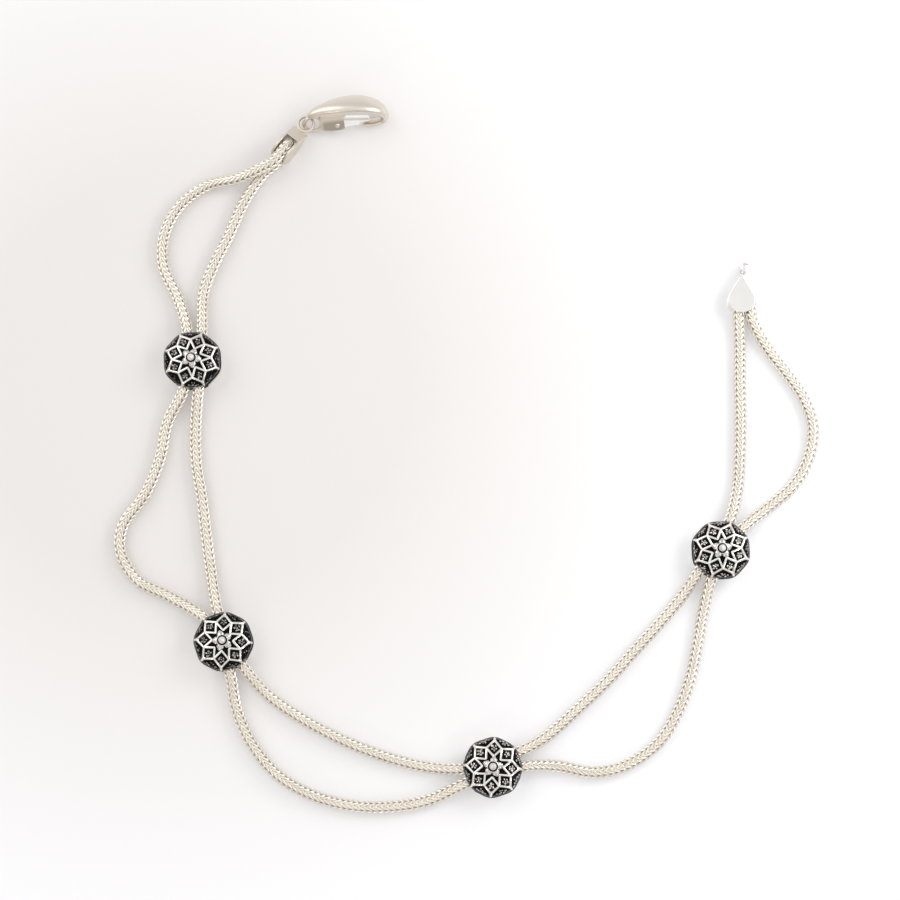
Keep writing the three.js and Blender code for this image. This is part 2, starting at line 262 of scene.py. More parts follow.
def turned(
    profile: np.ndarray | list[tuple[float, float]], segments: int, depth: float = 0.0
) -> Shape:
    """Turns a profile about the Z axis.

    Args:
        profile: (radius, z) pairs from the bottom to the top, both ends on the axis.
        segments: how many steps the turn has.
        depth: the recess depth.

    Returns:
        The turned surface.
    """
    bottom, *rings, top = np.array(profile, float)
    rings = np.array(rings)
    body = raised(polar(rings[:, :1], circle(segments)), rings[:, 1:]).reshape(-1, 3)
    points = np.concatenate([body, [[0, 0, bottom[1]], [0, 0, top[1]]]])
    here = np.arange(segments)
    ahead = (here + 1) % segments
    last = (len(rings) - 1) * segments
    low, high = np.full(segments, len(body)), np.full(segments, len(body) + 1)
    fans = [np.stack([low, ahead, here], -1), np.stack([high, last + here, last + ahead], -1)]
    return Shape(points, [grid_quads(len(rings), segments), *fans], depth)


def grains(
    centres: np.ndarray, normals: np.ndarray, sizes: np.ndarray, depth: np.ndarray | float
) -> Shape:
    """Small rounded grains that sit half sunk in a surface.

    Args:
        centres: the grains' centres, one row each.
        normals: the surface's normal at each grain.
        sizes: for each grain its two half widths and its half height.
        depth: the recess depth of all of them, or of each.

    Returns:
        The grains.
    """
    rings, sides, steep = 7, 10, 0.9
    arc = np.linspace(-QUARTER, QUARTER, rings)
    ball = turned(polar(1.0, arc), sides)
    out = unit(normals)
    first = unit(np.cross(np.where(np.abs(out[:, 2:]) < steep, UP, EAST), out))
    frames = np.stack([first, np.cross(out, first), out], axis=1)
    points = centres[:, None] + (ball.points * sizes[:, None]) @ frames
    depths = np.repeat(np.broadcast_to(depth, len(centres)), len(ball.points))
    return copies(points, ball.faces, depths)


def slab(outline: np.ndarray, thickness: float, edge: float, steps: int = 4) -> Shape:
    """A flat outline given a thickness and rounded edges, centred on its own plane.

    Args:
        outline: its corners, anticlockwise.
        thickness: the thickness along Z.
        edge: the radius of the rounded edges.
        steps: how many steps round each edge.

    Returns:
        The slab.
    """
    way = unit(np.roll(outline, -1, axis=0) - outline)
    normal = np.stack([way[:, 1], -way[:, 0]], axis=-1)
    outward = unit(normal + np.roll(normal, 1, axis=0))
    lean = np.clip(np.sum(outward * normal, axis=-1, keepdims=True), 0.5, 1)
    turns = np.linspace(0, QUARTER, steps + 1) if edge else np.array([QUARTER])
    rings = []
    for sign in (-1, 1):
        for turn in turns[::-sign]:
            inset = edge * (1 - math.sin(turn))
            height = sign * (thickness / 2 - edge * (1 - math.cos(turn)))
            rings.append(raised(outline - outward * inset / lean, height))
    return Shape(np.concatenate(rings), bar_faces(len(rings), len(outline)))


def curved_outline(
    start: tuple[float, float], runs: list[tuple[float, ...]], steps: int
) -> np.ndarray:
    """An outline from straight and curved runs.

    Args:
        start: where it begins.
        runs: (x, y) for a straight run, or the six numbers of a curve's two handles
            and end.
        steps: how many steps each curve has.

    Returns:
        The outline's corners.
    """
    corners = [np.array(start, float)]
    for run in runs:
        p0 = corners[-1]
        *handles, p3 = np.array(run, float).reshape(-1, 2)
        if not handles:
            corners.append(p3)
            continue
        p1, p2 = handles
        for t in np.arange(1, steps + 1) / steps:
            s = 1 - t
            corners.append(s**3 * p0 + 3 * s * s * t * p1 + 3 * s * t * t * p2 + t**3 * p3)
    return np.array(corners)


def turn_matrix(axis: str, degrees: float) -> np.ndarray:
    """A turn about the "X", "Y" or "Z" axis as a 4 by 4 matrix."""
    return np.array(Matrix.Rotation(math.radians(degrees), 4, axis))


def shift_matrix(x: float, y: float, z: float) -> np.ndarray:
    """A shift as a 4 by 4 matrix."""
    return np.array(Matrix.Translation((x, y, z)))


# ---- Making Blender objects -----------------------------------------------------------


def mesh_of(shape: Shape, name: str, scale: float = 1.0) -> bpy.types.Mesh:
    """A Blender mesh of a surface.

    Args:
        shape: the surface.
        name: the mesh's name.
        scale: the size of a millimetre in the mesh.

    Returns:
        The mesh.
    """
    mesh = bpy.data.meshes.new(name)
    loops = np.concatenate([block.reshape(-1) for block in shape.faces])
    sizes = np.concatenate([np.full(len(block), block.shape[1]) for block in shape.faces])
    starts = np.cumsum(sizes) - sizes
    mesh.vertices.add(len(shape.points))
    mesh.vertices.foreach_set("co", (shape.points * scale).astype(np.float32).reshape(-1))
    mesh.loops.add(len(loops))
    mesh.loops.foreach_set("vertex_index", loops.astype(np.int32))
    mesh.polygons.add(len(sizes))
    mesh.polygons.foreach_set("loop_start", starts.astype(np.int32))
    mesh.update(calc_edges=True)
    return mesh


def shown(name: str, data: bpy.types.ID) -> bpy.types.Object:
    """Puts a mesh, light or camera in the scene.

    Args:
        name: the object's name.
        data: the mesh, light or camera.

    Returns:
        The new object.
    """
    made = bpy.data.objects.new(name, data)
    bpy.context.scene.collection.objects.link(made)
    return made


def reworked(shape: Shape, *tools: tuple[str, dict[str, object]]) -> Shape:
    """A surface after Blender's modifiers, worked at one unit a millimetre.

    Args:
        shape: the surface to work on.
        tools: modifier types with their settings, where a surface stands for its object.

    Returns:
        The worked surface, with no recess depth.
    """
    work = shown("work", mesh_of(shape, "work"))
    things = [work]
    for kind, settings in tools:
        modifier = work.modifiers.new(kind.lower(), kind)
        for key, value in settings.items():
            if isinstance(value, Shape):
                value = shown("cutter", mesh_of(value, "cutter"))
                things.append(value)
            setattr(modifier, key, value)
    graph = bpy.context.evaluated_depsgraph_get()
    result = bpy.data.meshes.new_from_object(work.evaluated_get(graph))
    points = np.zeros(len(result.vertices) * 3, np.float32)
    result.vertices.foreach_get("co", points)
    blocks: dict[int, list[list[int]]] = {}
    for polygon in result.polygons:
        blocks.setdefault(len(polygon.vertices), []).append(list(polygon.vertices))
    for mesh in [result, *(thing.data for thing in things)]:
        bpy.data.meshes.remove(mesh)
    return Shape(points.reshape(-1, 3).astype(float), [np.array(b) for b in blocks.values()])


def less(shape: Shape, *cutters: Shape) -> Shape:
    """A surface with others cut out of it."""
    how = {"operation": "DIFFERENCE", "solver": "EXACT"}
    return reworked(shape, *(("BOOLEAN", {**how, "object": cutter}) for cutter in cutters))


def make_piece(
    name: str,
    node: str,
    layers: list[tuple[Shape, "Finish"]],
    place: np.ndarray = np.eye(4),
    body: str = BODY,
    smooth_deg: float = 40.0,
) -> bpy.types.Object:
    """Makes one named piece of the anklet, sets it on its body and reports it.

    Args:
        name: its name.
        node: the CAD node that it is shown in place of.
        layers: surfaces with their finishes.
        place: the matrix from the surfaces' own frame to the layout.
        body: the body that it moves with.
        smooth_deg: edges sharper than this stay crisp.

    Returns:
        The object.
    """
    whole = joined([shape for shape, _ in layers]).placed(place)
    mesh = mesh_of(whole, name, MM)
    counts = [sum(len(block) for block in shape.faces) for shape, _ in layers]
    index = np.repeat(np.arange(len(counts)), counts)
    for _, finish in layers:
        mesh.materials.append(material_of(finish))
    mesh.polygons.foreach_set("material_index", index.astype(np.int32))
    depth = mesh.attributes.new("depth", "FLOAT", "POINT")
    depth.data.foreach_set("value", whole.depth.astype(np.float32))
    mesh.shade_smooth()
    mesh.set_sharp_from_angle(angle=math.radians(smooth_deg))
    made = shown(name, mesh)
    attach(made, body)
    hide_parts(node)
    LOG.info("%s: %d faces on %s", name, len(mesh.polygons), body)
    return made


# ---- Finishes -------------------------------------------------------------------------

BUMP_HEIGHT = 0.00002
MIX_FIRST, MIX_SECOND, MIX_COLOUR = 6, 7, 2


class Nodes:
    """A short way to write the nodes of a material or of the room."""

    def __init__(
        self, owner: bpy.types.Material | bpy.types.World, shader: str, where: str
    ) -> None:
        """Opens the nodes.

        Args:
            owner: the material or room.
            shader: the name of its shader.
            where: the name of the coordinates that its patterns follow.
        """
        owner.use_nodes = True
        self.tree = owner.node_tree
        self.shader = self.tree.nodes[shader]
        self.where = self.add("ShaderNodeTexCoord", {}).outputs[where]

    def add(
        self, kind: str, inputs: dict[str | int, object], **settings: object
    ) -> bpy.types.Node:
        """Adds a node.

        Args:
            kind: its type.
            inputs: what its inputs are set or joined to.
            settings: its other settings.

        Returns:
            The node.
        """
        node = self.tree.nodes.new(kind)
        for key, value in settings.items():
            setattr(node, key, value)
        self.put(node, inputs)
        return node

    def put(self, node: bpy.types.Node, inputs: dict[str | int, object]) -> None:
        """Sets a node's inputs to numbers, or joins them to other nodes.

        Args:
            node: the node.
            inputs: for each input, its value or the socket that gives it.
        """
        for key, value in inputs.items():
            if isinstance(value, Socket):
                self.tree.links.new(value, node.inputs[key])
            else:
                node.inputs[key].default_value = value

    def noise(self, scale: float, detail: float = 4.0, rough: float = 0.5) -> Socket:
        """Noise of some scale in one metre, octaves, and strength of the fine ones."""
        look = {"Vector": self.where, "Scale": scale, "Detail": detail, "Roughness": rough}
        return self.add("ShaderNodeTexNoise", look).outputs["Fac"]

    def between(
        self, value: Socket, low: float, high: float, start: float = 0.0, end: float = 1.0
    ) -> Socket:
        """A value that is start at low and end at high, and kept between them."""
        ranges = {"From Min": low, "From Max": high, "To Min": start, "To Max": end}
        return self.add("ShaderNodeMapRange", {"Value": value, **ranges}).outputs["Result"]

    def mixed(self, share: Socket, first: Colour | Socket, second: Colour) -> Socket:
        """Mixes two colours.

        Args:
            share: 0 for the first colour and 1 for the second.
            first: the first colour.
            second: the second colour.

        Returns:
            The mixed colour.
        """
        ends = {MIX_FIRST: first if isinstance(first, Socket) else (*first, 1)}
        inputs = {"Factor": share, **ends, MIX_SECOND: (*second, 1)}
        return self.add("ShaderNodeMix", inputs, data_type="RGBA").outputs[MIX_COLOUR]

    def bump(self, height: Socket, strength: float) -> None:
        """Lays a fine relief of some strength on the surface."""
        look = {"Height": height, "Strength": strength, "Distance": BUMP_HEIGHT}
        self.put(self.shader, {"Normal": self.add("ShaderNodeBump", look).outputs["Normal"]})


@dataclass(frozen=True)
class SilverFinish:
    """Silver, from polished to blackened, with fine scratches and a darker tone where the
    depth attribute says so: oxide on the beads, painted shade and a painted dark reflection
    elsewhere.

    Args:
        name: the material's name.
        bright: the colour where it is rubbed.
        shaded: the colour of its faint cloudy toning.
        deep: the colour where the depth attribute is 1: blackened oxide on the beads, painted
            shade on the chain and the caps' loops, and a painted dark reflection on the
            clasp's cheek.
        smooth: the roughness where it is smoothest.
        dull: the roughness where it is dullest.
        relief: how strong the scratches are.
        metallic: how metallic it is.
        sheen: how much it reflects where it isn't metallic.
    """

    name: str
    bright: Colour
    shaded: Colour
    deep: Colour
    smooth: float
    dull: float
    relief: float
    metallic: float = 1.0
    sheen: float = 0.5

    def dress(self, nodes: Nodes) -> None:
        """Writes the finish on a material's nodes.

        Args:
            nodes: the nodes.
        """
        clouds, rubbing, scratches = 350.0, 2600.0, 9000.0
        cloud = nodes.between(nodes.noise(clouds), 0.35, 0.7)
        toned = nodes.mixed(cloud, self.bright, self.shaded)
        # The depth attribute mixes in the deep colour: oxide on the beads, painted shade and a
        # painted dark reflection on the other pieces.
        depth = nodes.add("ShaderNodeAttribute", {}, attribute_name="depth").outputs["Fac"]
        rubbed = nodes.noise(rubbing, 6.0, 0.65)
        look = {
            "Base Color": nodes.mixed(nodes.between(depth, 0.1, 1.0), toned, self.deep),
            "Roughness": nodes.between(rubbed, 0.3, 0.75, self.smooth, self.dull),
            "Metallic": self.metallic,
            "Specular IOR Level": self.sheen,
        }
        nodes.put(nodes.shader, look)
        nodes.bump(nodes.noise(scratches, 3.0, 0.6), self.relief)


@dataclass(frozen=True)
class StoneFinish:
    """A pale polished stone with a faint milky cloud.

    Args:
        name: the material's name.
        clear: its colour.
        milky: the colour of the cloud.
        gloss: the shader's own values for its polish.
    """

    name: str = "pale_stone"
    clear: Colour = (0.84, 0.82, 0.78)
    milky: Colour = (0.48, 0.47, 0.45)
    gloss: tuple[tuple[str, float], ...] = (
        ("Roughness", 0.06), ("IOR", 2.1), ("Coat Weight", 1.0), ("Coat Roughness", 0.03),
    )

    def dress(self, nodes: Nodes) -> None:
        """Writes the finish on a material's nodes.

        Args:
            nodes: the nodes.
        """
        cloud = nodes.between(nodes.noise(1400.0, 3.0), 0.4, 0.65)
        colour = nodes.mixed(cloud, self.clear, self.milky)
        nodes.put(nodes.shader, {"Base Color": colour, **dict(self.gloss)})
        nodes.bump(nodes.noise(3000.0, 2.0), 0.05)


@dataclass(frozen=True)
class PaleSurface:
    """The plain pale surface that the anklet lies on, warm on one side and white beyond, a
    colour gradient of painted light and shade.

    Args:
        name: the material's name.
        warm: its colour on the warm side, its own warm tone darkened with painted shade.
        white: its colour beyond, paler with painted light.
        middle: the middle of the warm side, in metres.
        reach: how far from there, in metres, it starts to turn white and is white.
        glow: how strongly it is lit from below, as a light table is.
    """

    name: str = "pale_surface"
    warm: Colour = (0.572, 0.555, 0.545)
    white: Colour = (0.69, 0.694, 0.712)
    middle: Point = (-0.045, 0.012, 0.0)
    reach: tuple[float, float] = (0.035, 0.097)
    glow: float = 0.4

    def dress(self, nodes: Nodes) -> None:
        """Writes the finish on a material's nodes.

        Args:
            nodes: the nodes.
        """
        ends = {0: nodes.where, 1: self.middle}
        away = nodes.add("ShaderNodeVectorMath", ends, operation="DISTANCE").outputs["Value"]
        # Painted light and shade: the colour turns from the darker warm tone to a brighter
        # white away from the middle.
        colour = nodes.mixed(nodes.between(away, *self.reach), self.warm, self.white)
        look = {
            "Base Color": colour,
            "Emission Color": colour,
            "Emission Strength": self.glow,
            "Roughness": nodes.between(nodes.noise(900.0, 3.0), 0.3, 0.7, 0.68, 0.8),
        }
        nodes.put(nodes.shader, look)


Finish = SilverFinish | StoneFinish | PaleSurface

# The chain wire's deep colour is painted shade, where the loops' legs dive into the groove.
CHAIN_WIRE = SilverFinish(
    "chain_wire", (0.92, 0.878, 0.81), (0.875, 0.83, 0.755), (0.62, 0.565, 0.48),
    0.28, 0.48, 0.15,
)
# The core's finish is painted shade: a darker tube for the chain's shaded inside.
CHAIN_SHADE_CORE = SilverFinish(
    "chain_shade_core", (0.66, 0.6, 0.5), (0.58, 0.52, 0.44), (0.6, 0.54, 0.45),
    0.5, 0.7, 0.2,
)
# Its deep colour is painted shade on the inner face of the tag cap's loop.
POLISHED_SILVER = SilverFinish(
    "polished_silver", (0.95, 0.94, 0.93), (0.92, 0.91, 0.89), (0.4, 0.37, 0.34),
    0.06, 0.16, 0.06,
)
# This finish's darker warm beige is a painted warm reflection of the surroundings on silver;
# its deep colour is painted shade in the cap's loop and a painted dark reflection on the
# clasp's front cheek.
SILVER_WARM_REFLECTION = SilverFinish(
    "silver_warm_reflection", (0.8, 0.735, 0.655), (0.76, 0.695, 0.615), (0.34, 0.3, 0.24),
    0.3, 0.42, 0.05,
)
BRIGHT_LATTICE = SilverFinish(
    "bright_lattice", (0.9, 0.88, 0.85), (0.78, 0.76, 0.73), (0.03, 0.028, 0.03),
    0.14, 0.32, 0.12,
)
BLACKENED_CELL = SilverFinish(
    "blackened_cell", (0.003, 0.0028, 0.003), (0.007, 0.006, 0.0065), (0.0025, 0.0025, 0.0028),
    0.22, 0.4, 0.3, 0.0, 0.05,
)
PALE_STONE = StoneFinish()
PALE_SURFACE = PaleSurface()


@cache
def material_of(finish: Finish) -> bpy.types.Material:
    """A finish's material, made the first time that it is asked for.

    Args:
        finish: the finish.

    Returns:
        The material.
    """
    material = bpy.data.materials.new(finish.name)
    finish.dress(Nodes(material, "Principled BSDF", "Object"))
    return material


# ---- Slider beads ---------------------------------------------------------------------


@dataclass
class RosetteBead:
    """A domed slider bead: a star lattice over blackened cells round a flower.

    Its middle is that of its stone in the frame.

    Args:
        number: its number from the clasp.
        heading: the way the chain runs through it, in degrees.
        star_way: the direction of one outer point of its star, in degrees.
        petal_way: the direction of one petal of its flower, in degrees.
        toned: how dark the blossoms in its cells are: worn oxide, with painted shade added on
            beads 1 and 2, which lie in dimmer light.
        radius: its radius at its widest.
        shoulder: the height of its straight wall.
        rise: how far its top stands above that.
        shoulder_round: how square the dome's shoulder is.
        crown_round: how flat its crown is.
        narrowing: how much narrower it is for each millimetre that it is sunk.
        sink: how far the cell floors lie below the lattice.
        rib: half the width of a lattice rib.
        black_from: the height above which the wall is black.
        inner_point: how far out the star's inner points lie.
        side_point: how far out its side points lie.
        outer_point: how far out its outer points lie.
        rim_z: the height of the rim that the cells end at.
        points: how many points the star has.
        petals: how many petals the flower has.
        slot_half: half the width of the strands' slot.
        slot_top: the height of the slot's top.
        slot_corner: the radius of the slot's corners.
        plate: the thickness of the back plate.
        wall: the thickness of the wall round the hollow.
        floor_from: the height of the underside of the cells' floor.
        flatness: how much its side is flattened between the star's points.
        steps: how many steps its turn has.
    """

    number: int
    heading: float
    star_way: float
    petal_way: float
    toned: float
    radius: float = 4.85
    shoulder: float = 2.3
    rise: float = 2.25
    shoulder_round: float = 2.4
    crown_round: float = 2.5
    narrowing: float = 0.6
    sink: float = 0.42
    rib: float = 0.185
    black_from: float = 2.3
    inner_point: float = 1.64
    side_point: float = 3.17
    outer_point: float = 4.3
    rim_z: float = 3.12
    points: int = 8
    petals: int = 5
    slot_half: float = 2.8
    slot_top: float = 2.95
    slot_corner: float = 0.5
    plate: float = 0.45
    wall: float = 0.6
    floor_from: float = 2.7
    flatness: float = 0.035
    steps: int = 96

    def __post_init__(self) -> None:
        """Turns the star and the flower into the bead's own frame."""
        self.star = math.radians(self.star_way - self.heading)
        self.petal = math.radians(self.petal_way - self.heading)
        self.half = math.pi / self.points
        self.spokes = self.star + 2 * self.half * np.arange(self.points)

    def place(self) -> np.ndarray:
        """Finds where the bead lies.

        Returns:
            The matrix from its own frame, where its slot runs along X, to the layout.
        """
        low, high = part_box(f"stone_{self.number}")
        middle = (low + high) / 2 / MM
        return shift_matrix(middle.x, middle.y, 0) @ turn_matrix("Z", self.heading)

    def dome(self, r: np.ndarray, sink: float = 0.0) -> np.ndarray:
        """The dome's height at some radii, sunk by a distance below the lattice's top."""
        share = np.clip(r / (self.radius - self.narrowing * sink), 0, 1) ** self.shoulder_round
        return self.shoulder + (self.rise - sink) * (1 - share) ** (1 / self.crown_round)

    def reach_at(self, z: np.ndarray | float, sink: float = 0.0) -> np.ndarray:
        """The dome's radius at some heights, sunk by a distance inside the lattice."""
        share = 1 - np.clip((z - self.shoulder) / (self.rise - sink), 0, 1) ** self.crown_round
        return (self.radius - self.narrowing * sink) * share ** (1 / self.shoulder_round)

    def on_dome(self, flat: np.ndarray, sink: float = 0.0) -> tuple[np.ndarray, np.ndarray]:
        """Points of the dome above a plan.

        Args:
            flat: the plan's points, with x, y last.
            sink: how far below the lattice's top.

        Returns:
            The points and the outward ways there.
        """
        step, least = 0.02, 1e-6
        r = np.hypot(flat[..., 0], flat[..., 1])
        slope = (self.dome(r + step, sink) - self.dome(r - step, sink)) / (2 * step)
        way = raised(-flat * (slope / np.maximum(r, least))[..., None], 1.0)
        return raised(flat, self.dome(r, sink)), unit(way)

    def flat(self, angle: np.ndarray) -> np.ndarray:
        """How flat the side is at some angles: 0 at the star's points, 1 between them."""
        return (1 - np.cos(self.points * (angle - self.star))) / 2

    def rib_section(self, half: float, deep: float) -> np.ndarray:
        """A rib's section, rounded on top, with sides that lean out as they go down."""
        right = [(half + 0.04, -deep), (half, -0.13), (half * 0.78, -0.03), (half * 0.4, 0.0)]
        return mirrored(np.array(right))

    def ribs(self) -> Shape:
        """Draws the straight ribs of the star's kites.

        Returns:
            The ribs.
        """
        inner, outer = (polar(r, self.spokes) for r in (self.inner_point, self.outer_point))
        before, after = (
            polar(self.side_point, self.spokes + turn) for turn in (-self.half, self.half)
        )
        start = np.stack([inner, before, inner, after], axis=1).reshape(-1, 1, 2)
        end = np.stack([before, outer, after, outer], axis=1).reshape(-1, 1, 2)
        t = np.linspace(0, 1, 9)[:, None]
        centres, ways = self.on_dome(start * (1 - t) + end * t)
        return sweep(centres, ways, self.rib_section(self.rib, self.sink + 0.1))

    def bosses(self) -> Shape:
        """Draws the rounded knots where ribs meet.

        Returns:
            The knots.
        """
        knots = (
            (self.inner_point, 0.0, 0.2),
            (self.side_point, self.half, 0.25),
            (self.outer_point, 0.0, 0.3),
        )
        height, sunk = 0.26, 0.2
        flat = np.stack([polar(r, self.spokes + turn) for r, turn, _ in knots], axis=1)
        sizes = np.tile([(size, size, height) for _, _, size in knots], (self.points, 1))
        centres, ways = self.on_dome(flat.reshape(-1, 2))
        return grains(centres - sunk * ways, ways, sizes, 0.0)

    def rim(self) -> Shape:
        """Draws the rim that the cells end at, and the struts that run down to it.

        Returns:
            The rim and struts.
        """
        angle = circle(self.steps)
        r = self.reach_at(self.rim_z) * (1 - self.flatness * self.flat(angle))
        ways = raised(polar(1.0, angle), 0.9)
        line = raised(polar(r, angle), self.rim_z)
        ring = hoop(line, ways, self.rib_section(0.08, 0.24), 0.85)
        reach = np.linspace(self.outer_point, self.radius - 0.12, 5)
        centres, ways = self.on_dome(polar(reach, self.spokes[:, None]))
        return joined([ring, sweep(centres, ways, self.rib_section(0.2, self.sink))])

    def turned_body(self, profile: list[tuple[float, float]]) -> Shape:
        """A turned solid whose side is flattened between the star's points.

        Args:
            profile: its (radius, z) pairs.

        Returns:
            The solid.
        """
        body = turned(profile, self.steps)
        x, y = body.points[:, 0], body.points[:, 1]
        reach = np.clip(np.hypot(x, y) / self.radius, 0, 1)
        share = self.flatness * self.flat(np.arctan2(y, x)) * reach**3
        body.points[:, :2] *= (1 - share)[:, None]
        return body

    def under_dome(
        self, sink: float, steps: int, low: float, inset: float = 0.0
    ) -> list[tuple[float, float]]:
        """The profile of a solid that fills the dome.

        Args:
            sink: how far inside the lattice's surface it stays.
            steps: how many steps its curve has.
            low: the height of its flat bottom.
            inset: how much narrower it is than the dome there.

        Returns:
            Its (radius, z) pairs.
        """
        z = self.shoulder + (self.rise - sink) * np.sin(np.linspace(0, 1, steps) * QUARTER)
        r = self.reach_at(z, sink) - inset
        r, z = r[z > low], z[z > low]
        r[-1] = 0.0
        return [(0, low), (r[0], low), *zip(r, z)]

    def opened(self, solid: Shape) -> Shape:
        """Cuts the space inside and the strands' slot out of a solid.

        Args:
            solid: the solid.

        Returns:
            What is left.
        """
        steps, segments, inset = 14, 48, 0.2
        profile = self.under_dome(self.sink + self.wall, steps, self.plate, inset)
        hollow = turned(profile, segments)
        half, top, corner = self.slot_half, self.slot_top, self.slot_corner
        arc = (half - corner, top - corner) + polar(corner, np.linspace(0, QUARTER, 7))
        outline = mirrored(np.concatenate([[(half, self.plate)], arc]))
        slot = slab(outline, 3 * self.radius, 0.0)
        return less(solid, hollow, slot.placed(turn_matrix("Z", 90) @ turn_matrix("X", 90)))

    def drum(self) -> Shape:
        """Draws the polished back plate and wall, with a mouth for the strands at each end.

        Returns:
            The plate and wall.
        """
        wall = [
            # how far inside the full radius, and the height
            (0.5, 0.0), (0.33, 0.06), (0.25, 0.22), (0.1, 1.2),
            (0.03, 2.3), (0.08, 2.75), (0.25, 3.0), (0.5, 3.02),
        ]
        low, high = wall[0][1], wall[-1][1]
        profile = [(0, low), *((self.radius - inset, z) for inset, z in wall), (0, high)]
        drum = self.opened(self.turned_body(profile))
        toned_from, darkest = 1.3, 0.95
        drum.depth = darkest * np.clip(drum.points[:, 2] - toned_from, 0, 1)
        return drum

    def floors(self) -> Shape:
        """The blackened dome that floors the cells."""
        return self.opened(self.turned_body(self.under_dome(self.sink, 22, self.floor_from)))

    def relief(self) -> Shape:
        """Draws the small worn blossoms in the cells, and the grains between the points.

        Returns:
            The blossoms and grains.
        """
        chance = np.random.default_rng(self.number)
        blossom_r, petal_r, petals, twist = 3.0, 0.34, 5, 0.7
        between = (
            # how far round from the middle between two points, how far out, and the size
            (-0.17, 4.24, 0.19), (-0.08, 4.28, 0.2), (0.0, 4.18, 0.2), (0.09, 4.29, 0.2),
            (0.18, 4.22, 0.18), (-0.04, 3.9, 0.16), (0.06, 3.98, 0.14),
        )
        spots, sizes = [], []
        for k, spoke in enumerate(self.spokes):
            spots.append((blossom_r, spoke))
            sizes.append((0.16, 0.16, 0.24))
            for petal in range(petals):
                turn = petal * math.tau / petals + twist * k
                aside = petal_r * math.sin(turn) / blossom_r
                spots.append((blossom_r + petal_r * math.cos(turn), spoke + aside))
                sizes.append((0.2, 0.19, 0.19))
            for along, r, size in between:
                spots.append((r, spoke + self.half + along))
                sizes.append((size * 1.2, size * 0.8, 0.17))
        r, angle = np.array(spots).T
        flat = polar(r, angle) + chance.normal(0.0, 0.035, (2, len(r))).T
        worn = np.array(sizes) * chance.uniform(0.75, 1.25, (len(r), 3))
        edge_r, edge_tone = 3.6, 0.25
        # The toning is oxide in the cells, plus each bead's painted shade from toned, plus
        # more towards the edge.
        toning = self.toned + chance.uniform(0, 0.4, len(r)) + edge_tone * (r > edge_r)
        centres, ways = self.on_dome(flat, self.sink)
        return grains(centres, ways, worn, np.clip(toning, 0, 1))

    def flower(self) -> Shape:
        """Draws the flower in the middle: petals round a raised setting.

        Returns:
            The petals and setting.
        """
        petal = grains(
            np.array([[1.02, 0.0, 4.66], [1.36, 0.0, 4.56]]),
            np.array([[0.25, 0.0, 1.0], [0.35, 0.0, 1.0]]),
            np.array([[0.58, 0.5, 0.24], [0.34, 0.34, 0.17]]),
            0.27,
        )
        turns = np.degrees(self.petal + circle(self.petals))
        petals = [petal.placed(turn_matrix("Z", turn)) for turn in turns]
        cup = [(0, 4.1), (0.92, 4.1), (0.86, 5.02), (0.78, 4.97), (0, 4.97)]
        line = raised(polar(0.87, circle(32)), 5.02)
        edge = hoop(line, UP, round_section(0.09, 8), 0.15)
        return joined([*petals, edge, turned(cup, 32, 1.0)])

    def stone(self) -> Shape:
        """The small domed stone in the setting."""
        profile = [
            (0, 4.95), (0.5, 4.95), (0.58, 5.1), (0.58, 5.3), (0.54, 5.5),
            (0.43, 5.68), (0.24, 5.8), (0.1, 5.84), (0, 5.845),
        ]
        return turned(profile, 32)

    def build(self) -> None:
        """Builds the bead and its stone."""
        place, number = self.place(), self.number
        parts = [self.ribs(), self.bosses(), self.rim(), self.relief(), self.flower()]
        bright, black = 0, 1
        layers = [
            (self.drum(), BRIGHT_LATTICE),
            (self.floors(), BLACKENED_CELL),
            (joined(parts), BRIGHT_LATTICE),
        ]
        name, node = f"rosette_bead_{number}", f"rosette_{number}"
        bead = make_piece(name, node, layers, place)
        for face in bead.data.polygons:
            if face.material_index == bright and face.center.z > self.black_from * MM:
                face.material_index = black
        stone = [(self.stone(), PALE_STONE)]
        make_piece(f"bead_stone_{number}", f"stone_{number}", stone, place)


# ---- End caps -------------------------------------------------------------------------


